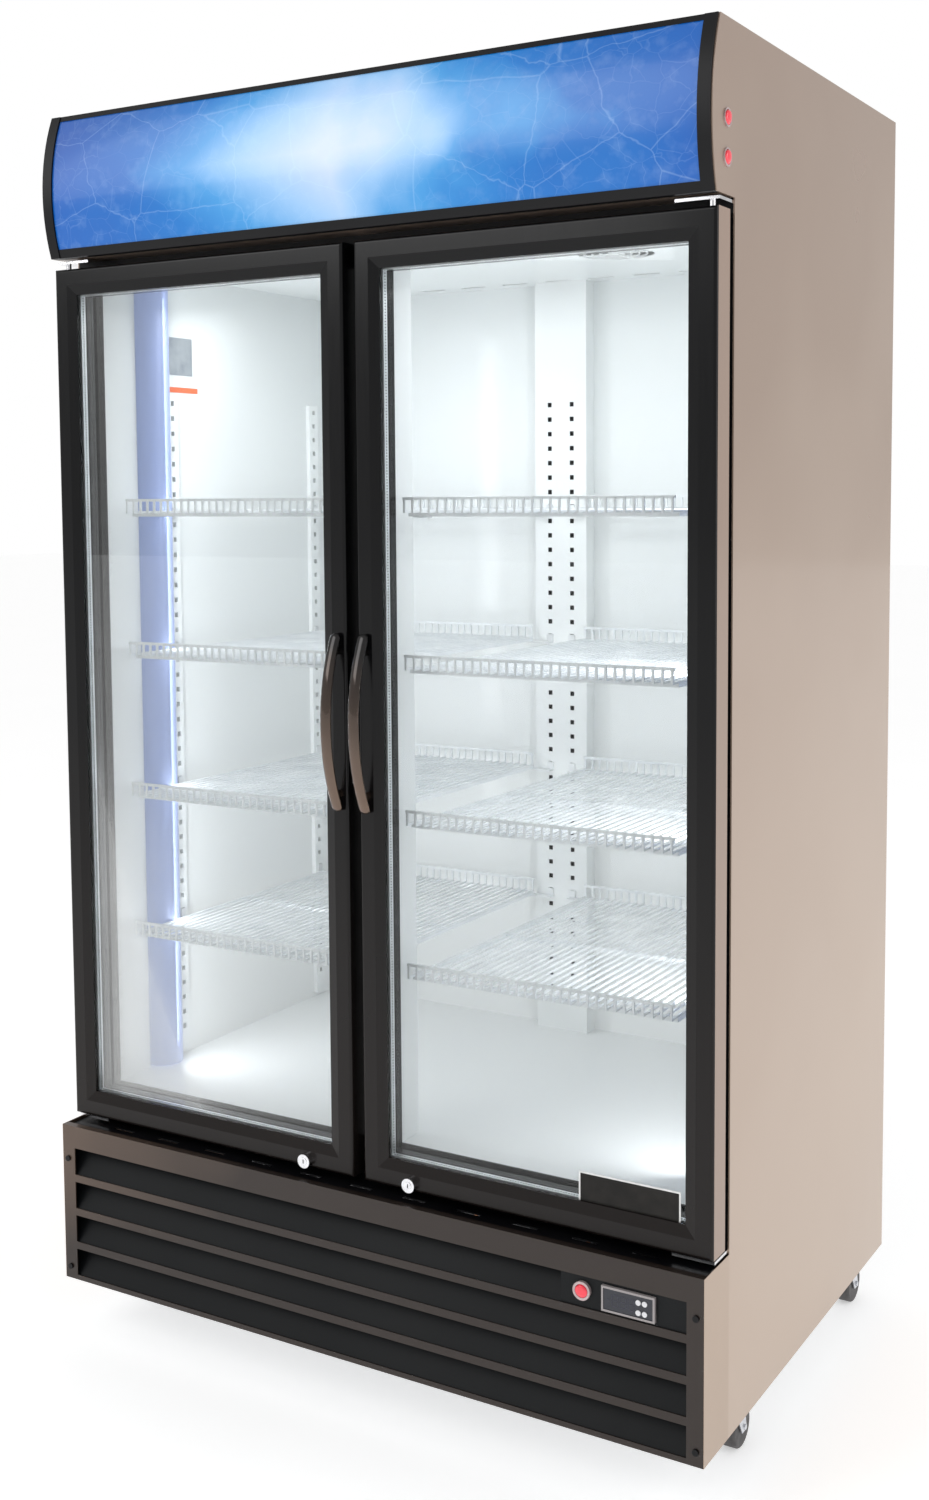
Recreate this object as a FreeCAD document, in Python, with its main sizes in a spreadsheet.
import FreeCAD, Part
import os
import re
import Sketcher

# A two-door glass merchandiser: an insulated case on a machine base, a lit canopy above the doors.
# The model is built in case coordinates: X across, Y back from the front face of the case,
# Z up from the underside of the base. Each node is then moved onto the floor frame.

doc = FreeCAD.newDocument("glass_door_merchandiser")
sheet = doc.addObject("Spreadsheet::Sheet", "Sizes")

sizes = {
    # case
    "case_width": 1120, "case_depth": 692, "body_height": 1864, "skin": 2, "liner": 1.5,
    "side_wall": 48, "back_wall": 62, "floor_rise": 54, "floor_thickness": 50, "opening_lap": 29,
    "roof_thickness": 52, "header_depth": 46, "breaker_thickness": 3, "ceiling_rise": 40,
    "ceiling_sheet": 2,
    # base
    "base_height": 256, "base_reach": 85, "grille_sheet": 2, "post_width": 25, "slot_bar": 12,
    "slot_bottom": 8, "slot_top": 36, "top_flange": 12, "blade_thickness": 1.5, "blade_depth": 30,
    "blade_lap": 4, "control_plate_width": 210, "sill_drop": 4, "sill_slot_length": 40,
    "sill_slot_width": 6, "sill_slot_reach": 52, "sill_slot_margin": 80, "tray_thickness": 3,
    "post_screw_inset": 11.5, "post_screw_low": 20, "post_screw_top": 55, "screw_head_radius": 4.5,
    "screw_head_height": 2.5,
    # back louvres
    "rear_slot_length": 300, "rear_slot_height": 8, "rear_slot_pitch": 22, "rear_slot_low": 40,
    "rear_slot_inset": 130,
    # doors
    "door_gap": 19, "door_inset": 1, "door_bottom_gap": 10, "door_top_gap": 16, "door_rear": 13,
    "door_thickness": 42, "frame_face": 41, "face_band": 25, "band_drop": 5, "edge_round": 5,
    "glass_thickness": 4, "glass_gap": 10, "glass_bite": 8, "glass_setback": 9,
    "pocket_clearance": 1, "spacer_cover": 1, "spacer_width": 8, "gasket_inset": 18.5,
    "gasket_width": 11, "gasket_clearance": 0.5, "pivot_inset": 14, "pivot_setback": 18,
    "pin_radius": 4, "pin_bite": 20, "running_clearance": 0.05, "hinge_plate": 4,
    "hinge_plate_width": 62, "hinge_plate_margin": 9, "hinge_gap": 3,
    # handles and locks
    "handle_offset": 14.5, "handle_drop": 685.5, "handle_length": 261, "handle_rise": 26,
    "handle_half_width": 9, "handle_half_thickness": 4.5, "handle_tip": 8,
    "handle_foot_radius": 6, "handle_foot_inset": 18, "handle_stand": 3.5,
    "lock_offset": 83, "lock_height": 12, "lock_flange_radius": 10.5, "lock_barrel_radius": 8,
    "lock_flange_reach": 10, "lock_plug_radius": 6, "lock_plug_proud": 0.5, "lock_cam_length": 16,
    "lock_cam_width": 8, "lock_cam_thickness": 2.5, "lock_cam_gap": 1, "keyway_width": 1.6,
    "keyway_height": 6, "keyway_depth": 6,
    # mullion and shelf uprights
    "mullion_half_width": 40, "mullion_depth": 49, "mullion_wall": 2, "upright_width": 26,
    "upright_thickness": 8, "upright_front": 145, "upright_back_gap": 54, "upright_foot": 8,
    "upright_head": 211, "hole_pitch": 25.4, "hole_rise": 51, "hole_size": 8, "channel_width": 100,
    "channel_depth": 31, "channel_sheet": 1.5, "channel_hole_offset": 21.6,
    # shelves
    "shelf_first_hole": 8, "shelf_hole_step": 9, "shelf_drop": 7, "shelf_inner_gap": 10,
    "shelf_outer_gap": 36, "shelf_front": 4, "shelf_back_gap": 9, "shelf_overhang": 20,
    "rod_radius": 3, "rod_inset": 6, "wire_radius": 1.6, "wire_count": 31, "wire_sink": 0.6,
    "lip_height": 19, "stop_height": 20, "clip_thickness": 2.5, "clip_width": 12,
    "clip_reach": 16, "tongue_size": 6, "tongue_depth": 6,
    # lights
    "lamp_middle": 110, "lamp_radius": 33.5, "lamp_standoff": 0.5, "lamp_sheet": 2,
    "lamp_top_gap": 4, "lamp_foot": 4, "tube_radius": 8, "tube_stand": 3, "socket_length": 18,
    "tube_end_gap": 25,
    # cold air unit
    "vent_offset": 228, "vent_depth": 345, "vent_radius": 60, "guard_ring_step": 12,
    "guard_wire": 2, "air_slot_length": 48, "air_slot_width": 12, "air_slot_margin": 68,
    "evaporator_left": 430, "evaporator_right": 120, "evaporator_length": 220,
    "evaporator_back_gap": 70, "evaporator_rise": 32, "evaporator_height": 118,
    "fin_thickness": 1.5, "fin_count": 20, "coil_tube_radius": 5, "coil_tube_end": 12,
    "manifold_half_width": 30, "manifold_depth": 6, "fan_radius": 52, "fan_hub_radius": 16,
    "fan_height": 12, "fan_blade": 2, "shaft_radius": 3, "evaporator_fan_rise": 22,
    "motor_radius": 30, "motor_length": 42, "motor_gap": 6, "motor_strap": 3, "strap_width": 16,
    "strap_margin": 10,
    # machine compartment
    "condenser_center": -90, "condenser_half_width": 200, "condenser_front": 12,
    "condenser_thickness": 50, "condenser_low": 14, "condenser_top_gap": 26,
    "condenser_fan_radius": 92, "condenser_fan_gap": 14, "motor_post_width": 30,
    "motor_post_thickness": 4, "compressor_x": 330, "compressor_back_gap": 262,
    "compressor_radius": 82, "compressor_dome": 38, "compressor_lift": 22, "compressor_foot": 12,
    "compressor_foot_width": 120, "grommet_radius": 10, "grommet_inset": 14, "relay_reach": 22,
    "relay_bite": 20, "relay_width": 50, "relay_low": 55, "relay_height": 60,
    "suction_height": 145, "pipe_radius": 3, "pipe_split": 5.5, "pipe_offset": 30,
    "pipe_loop": 200, "pipe_rise": 14, "pipe_headroom": 35, "drier_radius": 11,
    "drier_length": 90, "riser_sleeve": 12,
    "electrical_left": 250, "electrical_width": 130, "electrical_front": 20,
    "electrical_depth": 110, "electrical_height": 120, "gland_radius": 11, "gland_length": 24,
    "gland_inset": 60, "gland_height": 60, "gland_bore_radius": 4, "gland_nut_length": 8,
    "gland_nut_width": 4,
    # controls
    "controller_inset": 108, "controller_width": 78, "controller_height": 35,
    "controller_flange": 5, "controller_case_width": 71, "controller_case_height": 29,
    "controller_case_depth": 58, "window_margin": 3, "window_step": 1,
    "button_radius": 3.7, "button_left": 15, "button_pitch": 9.3, "button_upper": 5.7,
    "button_lower": 8.3, "button_proud": 1, "button_depth": 4, "button_clearance": 0.25,
    "button_travel": 4, "power_inset": 177, "power_rise": 2, "switch_ring_radius": 13,
    "switch_hole_radius": 9.6,
    "switch_ring_reach": 5, "rocker_radius": 9, "rocker_half_thickness": 3.5, "rocker_tilt": 8,
    "rocker_dome": 3, "switch_barrel": 16, "switch_barrel_wall": 1.2, "switch_clearance": 0.1,
    "light_switch_y": 28, "light_switch_high": 95, "light_switch_low": 46,
    "light_ring_radius": 12, "light_ring_reach": 2,
    # canopy
    "canopy_height": 219, "canopy_reach": 75, "canopy_radius": 310, "canopy_drop": 12,
    "canopy_sheet": 2, "canopy_end_width": 18, "canopy_end_depth": 12, "canopy_end_proud": 3,
    "canopy_panel_thickness": 3, "canopy_top_trim": 8, "canopy_bottom_trim": 13,
    "canopy_trim_proud": 1.5, "canopy_tube_depth": 30,
    # casters
    "caster_height": 90, "caster_inset": 45, "caster_front": 115, "caster_back_gap": 64,
    "caster_plate_size": 70, "caster_plate": 3, "kingpin_radius": 6, "kingpin_length": 12,
    "swivel_head_radius": 17, "swivel_gap": 0.5, "wheel_radius": 31, "wheel_width": 24,
    "axle_radius": 4, "axle_end": 2, "axle_boss": 9, "fork_leg": 2.5, "fork_crown": 6, "fork_gap": 1,
    "caster_trail": 22, "wheel_edge": 4,
}

for row, (alias, number) in enumerate(sizes.items(), start=1):
    sheet.set(f"A{row}", alias)
    sheet.set(f"B{row}", str(number))
    sheet.setAlias(f"B{row}", alias)
doc.recompute()


# Places worked out from the driving sizes.
places = {
    "half": "case_width / 2",
    "inner_half": "half - side_wall",
    "liner_half": "inner_half + liner",
    "panel_half": "half - skin",
    "back_plane": "case_depth - back_wall",
    "roof_level": "body_height - roof_thickness",
    "floor_level": "base_height + floor_rise",
    "compartment_top": "floor_level - floor_thickness",
    "canopy_bottom": "body_height - canopy_height",
    "door_top": "canopy_bottom - door_top_gap",
    "door_bottom": "base_height + door_bottom_gap",
    "opening_top": "door_top - opening_lap",
    "ceiling_level": "opening_top + ceiling_rise",
    "ceiling_top": "ceiling_level + ceiling_sheet",
    "lamp_top": "ceiling_level - lamp_top_gap",
    "door_outer": "half - door_inset",
    "door_inner": "door_gap / 2",
    "door_width": "door_outer - door_inner",
    "door_height": "door_top - door_bottom",
    "door_front": "-door_rear - door_thickness",
    "pivot_x": "door_outer - pivot_inset",
    "pivot_y": "door_front + pivot_setback",
    "glass_inset": "frame_face - glass_bite",
    "glass_front": "door_front + glass_setback",
    "glass_rear": "glass_front + 2 * glass_thickness + glass_gap",
    "lock_x": "door_inner + lock_offset",
    "lock_z": "door_bottom + lock_height",
    "handle_x": "door_inner + handle_offset",
    "handle_middle": "door_top - handle_drop",
    "handle_reach": "handle_stand + handle_rise + 2 * handle_half_thickness - door_front",
    "canopy_axis_y": "canopy_radius - canopy_reach",
    "canopy_axis_z": "(canopy_bottom + body_height) / 2 - canopy_drop",
    "canopy_middle": "(canopy_bottom + body_height) / 2",
    "channel_front": "back_plane - channel_depth",
    "upright_rear": "back_plane - upright_back_gap - upright_width",
    "hole_first": "floor_level + hole_rise",
    "hole_count": "floor((ceiling_level - hole_first - upright_head) / hole_pitch) + 1",
    "upright_top": "hole_first + (hole_count - 1) * hole_pitch + hole_pitch / 2",
    "shelf_inner": "mullion_half_width + shelf_inner_gap",
    "shelf_outer": "inner_half - shelf_outer_gap",
    "shelf_rear": "channel_front - shelf_back_gap",
    "evaporator_rear": "back_plane - evaporator_back_gap",
    "evaporator_front": "evaporator_rear - evaporator_length",
    "evaporator_low": "ceiling_level + evaporator_rise",
    "evaporator_high": "evaporator_low + evaporator_height",
    "evaporator_fan_level": "ceiling_level + evaporator_fan_rise",
    "riser_y": "back_plane - riser_sleeve - 4",
    "condenser_high": "base_height - condenser_top_gap",
    "condenser_middle": "(condenser_low + condenser_high) / 2",
    "condenser_fan_y": "condenser_front + condenser_thickness + condenser_fan_gap",
    "port_x": "condenser_center + condenser_half_width + coil_tube_end",
    "port_y": "condenser_front + condenser_thickness / 3",
    "compressor_y": "case_depth - compressor_back_gap",
    "compressor_low": "tray_thickness + compressor_lift",
    "compressor_crown": "compartment_top - pipe_headroom - pipe_rise",
    "compressor_body": "compressor_crown - compressor_low - 2 * compressor_dome",
    "gland_x": "gland_inset - half",
    "sill_top": "base_height - sill_drop",
    "sill_slot_pitch": "(case_width - 2 * sill_slot_margin - sill_slot_length) / 10",
    "air_slot_pitch": "(2 * inner_half - 2 * air_slot_margin - air_slot_length) / 10",
    "slot_height": "(base_height - slot_bottom - slot_top - 3 * slot_bar) / 4",
    "control_plate_left": "half - control_plate_width",
    "switch_face": "grille_sheet - base_reach + blade_thickness",
    "controller_x": "half - controller_inset",
    "controller_z": "base_height - slot_top - slot_height / 2",
    "power_x": "half - power_inset",
    "power_z": "controller_z + power_rise",
    "light_switch_upper": "canopy_bottom + light_switch_high",
    "light_switch_lower": "canopy_bottom + light_switch_low",
    "hinge_plate_reach": "hinge_plate_margin - pivot_y",
    "caster_x": "half - caster_inset",
    "caster_rear": "case_depth - caster_back_gap",
}


def named(text):
    def with_sheet(found):
        word = found.group()
        if word in places:
            return f"({named(places[word])})"
        return f"Sizes.{word}" if word in sizes else word
    return re.sub(r"[a-z]\w*", with_sheet, str(text))


def bind(thing, **values):
    for prop, text in values.items():
        thing.setExpression(prop.replace("__", "."), named(text))
    return thing


def at(thing, x, y, z):
    return bind(thing, Placement__Base__x=x, Placement__Base__y=y, Placement__Base__z=z)


def box(name, xs, ys, zs):
    block = doc.addObject("Part::Box", name)
    bind(block, Length=f"{xs[1]} - ({xs[0]})", Width=f"{ys[1]} - ({ys[0]})", Height=f"{zs[1]} - ({zs[0]})")
    return at(block, xs[0], ys[0], zs[0])


turns = {
    "x": FreeCAD.Rotation(FreeCAD.Vector(0, 1, 0), 90),
    "y": FreeCAD.Rotation(FreeCAD.Vector(1, 0, 0), -90),
    "z": FreeCAD.Rotation(),
}


def cylinder(name, axis, start, radius, length):
    rod = doc.addObject("Part::Cylinder", name)
    rod.Placement.Rotation = turns[axis]
    bind(rod, Radius=radius, Height=length)
    return at(rod, *start)


def sphere(name, center, radius):
    ball = doc.addObject("Part::Sphere", name)
    bind(ball, Radius=radius)
    return at(ball, *center)


def ellipsoid(name, center, along_z, along_x, along_y):
    dome = doc.addObject("Part::Ellipsoid", name)
    bind(dome, Radius1=along_z, Radius2=along_x, Radius3=along_y)
    return at(dome, *center)


def cut(name, base, *tools):
    result = doc.addObject("Part::Cut", name)
    result.Base = base
    result.Tool = tools[0] if len(tools) == 1 else fuse(name + "_tools", *tools)
    return result


def fuse(name, *pieces):
    result = doc.addObject("Part::MultiFuse", name)
    result.Shapes = list(pieces)
    return result


def common(name, *pieces):
    result = doc.addObject("Part::MultiCommon", name)
    result.Shapes = list(pieces)
    return result


def copy(name, source, x=0, y=0, z=0, turn=None):
    again = doc.addObject("Part::Compound", name)
    again.Links = [source]
    if turn:
        again.Placement.Rotation = turn
    return at(again, x, y, z)


def mirrored(name, source):
    other = doc.addObject("Part::Mirroring", name)
    other.Source = source
    other.Normal = (1, 0, 0)
    other.Base = (0, 0, 0)
    return other


nodes = {}


def node(name, *solids):
    group = doc.addObject("Part::Compound", name)
    group.Label = name
    group.Links = list(solids)
    at(group, 0, "(handle_reach - case_depth) / 2", "caster_height")
    nodes[name] = group


def both_sides(name, *solids):
    others = [mirrored(f"{solid.Name}_mirror", solid) for solid in solids]
    node(name, *solids, *others)


# ---------------------------------------------------------------- case shell
def case_shell():
    side = box("side_sheet", ("panel_half", "half"), (0, "case_depth"), (0, "body_height"))
    both_sides("side_panels", side)
    inside = ("-panel_half", "panel_half")
    roof = box("roof_sheet", inside, (0, "case_depth"), ("body_height - skin", "body_height"))
    node("roof_panel", roof)

    back_face = ("case_depth - skin", "case_depth")
    sheet_back = box("back_sheet", inside, back_face, ("tray_thickness", "body_height - skin"))
    slots = []
    sides = ("rear_slot_inset - half", "half - rear_slot_inset - rear_slot_length")
    for column, left in enumerate(sides):
        for row in range(8):
            low = f"rear_slot_low + {row} * rear_slot_pitch"
            slots.append(box(f"rear_slot_{column}_{row}", (left, f"{left} + rear_slot_length"),
                             ("case_depth - 2 * skin", "case_depth + skin"),
                             (low, f"{low} + rear_slot_height")))
    gland_hole = cylinder("gland_hole", "y", ("gland_x", "case_depth - 2 * skin", "gland_height"),
                          "gland_radius + running_clearance", "3 * skin")
    node("back_panel", cut("back_sheet_cut", sheet_back, *slots, gland_hole))


def pipe_riser_hole(name):
    return cylinder(name, "z", (0, "riser_y", "compartment_top - 5"),
                    "riser_sleeve", "ceiling_level - floor_level + 2 * floor_thickness")


def insulation():
    depth = ("breaker_thickness", "case_depth - skin")
    inner_depth = ("breaker_thickness", "back_plane + liner")
    across = ("-liner_half", "liner_half")
    height = ("compartment_top", "body_height - skin")
    side = box("foam_side", ("liner_half", "panel_half"), depth, height)
    other = mirrored("foam_side_mirror", side)
    back = box("foam_back", across, ("back_plane + liner", "case_depth - skin"), height)
    floor = box("foam_floor", across, inner_depth, ("compartment_top", "floor_level - liner"))
    floor_cut = cut("foam_floor_cut", floor, pipe_riser_hole("foam_riser_hole"))
    roof = box("foam_roof", across, inner_depth, ("roof_level + liner", "body_height - skin"))
    header = box("foam_header", across, ("breaker_thickness", "header_depth"),
                 ("opening_top", "roof_level + liner"))
    node("insulation", side, other, back, floor_cut, roof, header)


def inner_liner():
    outer = box("liner_outer", ("-liner_half", "liner_half"),
                ("breaker_thickness", "back_plane + liner"),
                ("floor_level - liner", "roof_level + liner"))
    hollow = box("liner_hollow", ("-inner_half", "inner_half"), (0, "back_plane"),
                 ("floor_level", "roof_level"))
    tub = cut("liner_tub", outer, hollow)
    header_back = box("liner_header_back", ("-inner_half", "inner_half"),
                      ("header_depth", "header_depth + liner"), ("opening_top - liner", "roof_level"))
    header_sole = box("liner_header_sole", ("-inner_half", "inner_half"),
                      ("breaker_thickness", "header_depth"), ("opening_top - liner", "opening_top"))
    header = box("liner_header_gap", ("-liner_half - 1", "liner_half + 1"),
                 ("breaker_thickness - 1", "header_depth"), ("opening_top", "body_height"))
    whole = fuse("liner_whole", tub, header_back, header_sole)
    node("inner_liner", cut("liner_cut", whole, header, pipe_riser_hole("liner_riser_hole")))


def face_frame():
    depth = (0, "breaker_thickness")
    side = box("breaker_side", ("inner_half", "panel_half"), depth, ("base_height", "body_height - skin"))
    other = mirrored("breaker_side_mirror", side)
    across = ("-inner_half", "inner_half")
    top = box("breaker_top", across, depth, ("opening_top - liner", "body_height - skin"))
    bottom = box("breaker_bottom", across, depth, ("base_height - sill_drop", "floor_level"))
    sill = box("sill_sheet", ("-panel_half + grille_sheet", "panel_half - grille_sheet"),
               ("-base_reach + grille_sheet", 0), ("sill_top - grille_sheet", "sill_top"))
    slots = []
    for column in range(-5, 6):
        middle = f"{column} * sill_slot_pitch"
        slots.append(box(f"sill_slot_{column + 5}",
                         (f"{middle} - sill_slot_length / 2", f"{middle} + sill_slot_length / 2"),
                         ("-sill_slot_reach", "sill_slot_width - sill_slot_reach"),
                         ("sill_top - 2 * grille_sheet", "sill_top + grille_sheet")))
    node("face_frame", side, other, top, bottom, cut("sill_cut", sill, *slots))


def mullion():
    post = box("mullion_post", ("-mullion_half_width", "mullion_half_width"), (0, "mullion_depth"),
               ("floor_level", "opening_top - liner"))
    hollow = box("mullion_hollow",
                 ("-mullion_half_width + mullion_wall", "mullion_half_width - mullion_wall"),
                 ("mullion_wall", "mullion_depth - mullion_wall"), ("floor_level - 1", "opening_top"))
    node("mullion", cut("mullion_tube", post, hollow))


# ---------------------------------------------------------------- shelf uprights
def pilaster_body():
    """One slotted upright, standing on the plane z = 0 with its back on x = 0."""
    body = doc.addObject("PartDesign::Body", "pilaster")
    planes = {plane.Role: plane for plane in body.Origin.OriginFeatures}
    outline = body.newObject("Sketcher::SketchObject", "pilaster_outline")
    outline.AttachmentSupport = [(planes["XY_Plane"], "")]
    outline.MapMode = "FlatFace"
    rectangle(outline, "-upright_thickness", 0, "upright_thickness", "upright_width")
    pad = body.newObject("PartDesign::Pad", "pilaster_pad")
    pad.Profile = outline
    bind(pad, Length="upright_top - floor_level - upright_foot")
    slot = body.newObject("Sketcher::SketchObject", "pilaster_slot")
    slot.AttachmentSupport = [(planes["YZ_Plane"], "")]
    slot.MapMode = "FlatFace"
    rectangle(slot, "(upright_width - hole_size) / 2",
              "hole_first - floor_level - upright_foot - hole_size / 2", "hole_size", "hole_size")
    pocket = body.newObject("PartDesign::Pocket", "pilaster_pocket")
    pocket.Profile = slot
    pocket.Type = "ThroughAll"
    pocket.Midplane = True
    rows(body, pocket, "pilaster_rows", planes["Z_Axis"])
    return body


def rectangle(sketch, left, low, width, height):
    corners = [(0, 0), (10, 0), (10, 10), (0, 10)]
    points = [FreeCAD.Vector(10 + x, 10 + y, 0) for x, y in corners]
    for index in range(4):
        sketch.addGeometry(Part.LineSegment(points[index], points[(index + 1) % 4]), False)
    for index in range(4):
        sketch.addConstraint(Sketcher.Constraint("Coincident", index, 2, (index + 1) % 4, 1))
    for index, kind in enumerate(("Horizontal", "Vertical", "Horizontal", "Vertical")):
        sketch.addConstraint(Sketcher.Constraint(kind, index))
    limits = (("width", "DistanceX", (0, 1, 0, 2), 10, width),
              ("height", "DistanceY", (1, 1, 1, 2), 10, height),
              ("left", "DistanceX", (-1, 1, 0, 1), 10, left), ("low", "DistanceY", (-1, 1, 0, 1), 10, low))
    for label, kind, ends, start, text in limits:
        place = sketch.addConstraint(Sketcher.Constraint(kind, *ends, start))
        sketch.renameConstraint(place, label)
        sketch.setExpression(f"Constraints.{label}", named(text))


def rows(body, feature, name, axis):
    pattern = body.newObject("PartDesign::LinearPattern", name)
    pattern.Originals = [feature]
    pattern.Direction = (axis, [""])
    bind(pattern, Length="hole_pitch * (hole_count - 1)", Occurrences="hole_count")
    body.Tip = pattern


def channel_body():
    """The folded channel on the back wall: it opens to the rear and carries two rows of holes."""
    body = doc.addObject("PartDesign::Body", "channel")
    planes = {plane.Role: plane for plane in body.Origin.OriginFeatures}
    outline = body.newObject("Sketcher::SketchObject", "channel_outline")
    outline.AttachmentSupport = [(planes["XY_Plane"], "")]
    outline.MapMode = "FlatFace"
    rectangle(outline, "-channel_width / 2", 0, "channel_width", "channel_depth")
    pad = body.newObject("PartDesign::Pad", "channel_pad")
    pad.Profile = outline
    bind(pad, Length="ceiling_level - floor_level")
    hollow = body.newObject("Sketcher::SketchObject", "channel_hollow")
    hollow.AttachmentSupport = [(planes["XY_Plane"], "")]
    hollow.MapMode = "FlatFace"
    rectangle(hollow, "-channel_width / 2 + channel_sheet", "channel_sheet",
              "channel_width - 2 * channel_sheet", "channel_depth")
    inside = body.newObject("PartDesign::Pocket", "channel_inside")
    inside.Profile = hollow
    inside.Type = "ThroughAll"
    inside.Midplane = True
    for side, sign in (("left", "-"), ("right", "")):
        hole = body.newObject("Sketcher::SketchObject", f"channel_hole_{side}")
        hole.AttachmentSupport = [(planes["XZ_Plane"], "")]
        hole.MapMode = "FlatFace"
        rectangle(hole, f"{sign}channel_hole_offset - hole_size / 2",
                  "hole_first - floor_level - hole_size / 2", "hole_size", "hole_size")
        pocket = body.newObject("PartDesign::Pocket", f"channel_pocket_{side}")
        pocket.Profile = hole
        pocket.Midplane = True
        bind(pocket, Length="6 * channel_sheet")
        rows(body, pocket, f"channel_rows_{side}", planes["Z_Axis"])
    return body


def shelf_uprights():
    body = pilaster_body()
    foot = "floor_level + upright_foot"
    front = copy("pilaster_front", body, "inner_half", "upright_front", foot)
    rear = copy("pilaster_rear", body, "inner_half", "upright_rear", foot)
    quarter = FreeCAD.Rotation(FreeCAD.Vector(0, 0, 1), -90)
    middle = copy("pilaster_middle", body, "-upright_width / 2", "mullion_depth", foot, quarter)
    channel = copy("channel_placed", channel_body(), 0, "channel_front", "floor_level")
    others = [mirrored(f"{piece.Name}_mirror", piece) for piece in (front, rear)]
    node("shelf_uprights", front, rear, *others, middle, channel)


# ---------------------------------------------------------------- shelves
def shelf_hole(index):
    return f"(hole_first + (shelf_first_hole + {index} * shelf_hole_step) * hole_pitch)"


def shelf_level(index):
    return f"({shelf_hole(index)} - shelf_drop)"


def bar(name, axis, start, half_width, length):
    """A square bar centred on a line that runs along one axis from the start."""
    spans = [(f"{place} - {half_width}", f"{place} + {half_width}") for place in start]
    number = "xyz".index(axis)
    spans[number] = (start[number], f"{start[number]} + {length}")
    return box(name, *spans)


def shelf_body():
    """A welded wire shelf: rods below, bent wires above, with a lip in front and a stop behind."""
    width = "(shelf_outer - shelf_inner)"
    wire_z = "(rod_radius + wire_radius - wire_sink)"
    front_rod = "(shelf_front + shelf_overhang)"
    rear_rod = "(shelf_rear - rod_inset)"
    pieces = []
    for label, y in (("front", front_rod), ("middle", "(shelf_front + shelf_rear) / 2"), ("rear", rear_rod)):
        pieces.append(bar(f"rod_{label}", "x", ("shelf_inner", y, 0), "rod_radius", width))
    for label, x in (("inner", "shelf_inner + rod_radius"), ("outer", "shelf_outer - rod_radius")):
        pieces.append(bar(f"rod_{label}", "y", (x, front_rod, 0), "rod_radius",
                          f"{rear_rod} - {front_rod}"))
    lip_z = f"{wire_z} + lip_height"
    stop_z = f"{wire_z} + stop_height"
    front_y = "(shelf_front + wire_radius)"
    rear_y = "(shelf_rear - wire_radius)"
    pieces.append(bar("lip_wire", "x", ("shelf_inner", f"{front_y} + wire_radius", lip_z),
                      "1.3 * wire_radius", width))
    pieces.append(bar("stop_wire", "x", ("shelf_inner", f"{rear_y} - wire_radius", stop_z),
                      "1.3 * wire_radius", width))
    for index in range(int(sizes["wire_count"])):
        x = f"shelf_inner + 2 * wire_radius + {index} * ({width} - 4 * wire_radius) / (wire_count - 1)"
        pieces.append(bar(f"deck_wire_{index}", "y", (x, "shelf_front", wire_z), "wire_radius",
                          "shelf_rear - shelf_front"))
        low = f"{wire_z} - wire_radius"
        pieces.append(bar(f"lip_rise_{index}", "z", (x, front_y, low), "wire_radius",
                          f"{lip_z} - ({low})"))
        pieces.append(bar(f"stop_rise_{index}", "z", (x, rear_y, low), "wire_radius",
                          f"{stop_z} - ({low})"))
    return fuse("shelf", *pieces)


def shelves():
    shelf = shelf_body()
    right = [copy(f"shelf_right_{index + 1}", shelf, 0, 0, shelf_level(index)) for index in range(4)]
    left = [mirrored(f"shelf_left_{index + 1}", piece) for index, piece in enumerate(right)]
    node("shelves_right", *right)
    node("shelves_left", *left)
    clips = []
    for index in range(4):
        clips += shelf_clips(index)
    both_sides("shelf_clips", *clips)


def shelf_clips(index):
    """The four clips under one shelf: two on the wall, one on the channel, one on the mullion."""
    top = f"({shelf_level(index)} - rod_radius)"
    hole = shelf_hole(index)
    ledge = (f"{top} - clip_thickness", top)
    plate = (ledge[0], f"{hole} + tongue_size / 2")
    tongue = (f"{hole} - tongue_size / 2", f"{hole} + tongue_size / 2")
    wall_face = "(inner_half - upright_thickness)"
    clips = []
    for label, y in (("front", "upright_front"), ("rear", "upright_rear")):
        middle = f"({y} + upright_width / 2)"
        width = (f"{middle} - clip_width / 2", f"{middle} + clip_width / 2")
        narrow = (f"{middle} - tongue_size / 2", f"{middle} + tongue_size / 2")
        clips.append(fuse(
            f"clip_{label}_{index}",
            box(f"clip_ledge_{label}_{index}", ("shelf_outer - 3 * rod_radius", wall_face), width, ledge),
            box(f"clip_plate_{label}_{index}", (f"{wall_face} - clip_thickness", wall_face), width, plate),
            box(f"clip_tongue_{label}_{index}", (wall_face, f"{wall_face} + tongue_depth"), narrow, tongue)))
    column = "channel_hole_offset"
    narrow = (f"{column} - tongue_size / 2", f"{column} + tongue_size / 2")
    reach = ("channel_hole_offset - clip_width / 2", "shelf_inner + 3 * rod_radius")
    clips.append(fuse(
        f"clip_channel_{index}",
        box(f"clip_channel_ledge_{index}", reach, ("channel_front - clip_reach", "channel_front"), ledge),
        box(f"clip_channel_plate_{index}", (reach[0], f"{column} + clip_width / 2"),
            ("channel_front - clip_thickness", "channel_front"), plate),
        box(f"clip_channel_tongue_{index}", narrow, ("channel_front", "channel_front + tongue_depth"),
            tongue)))
    rail = "(mullion_depth + upright_thickness)"
    clips.append(box(f"clip_mullion_{index}", ("clip_thickness", "shelf_inner + 3 * rod_radius"),
                     (rail, f"{rail} + clip_reach"), ledge))
    return clips


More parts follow.
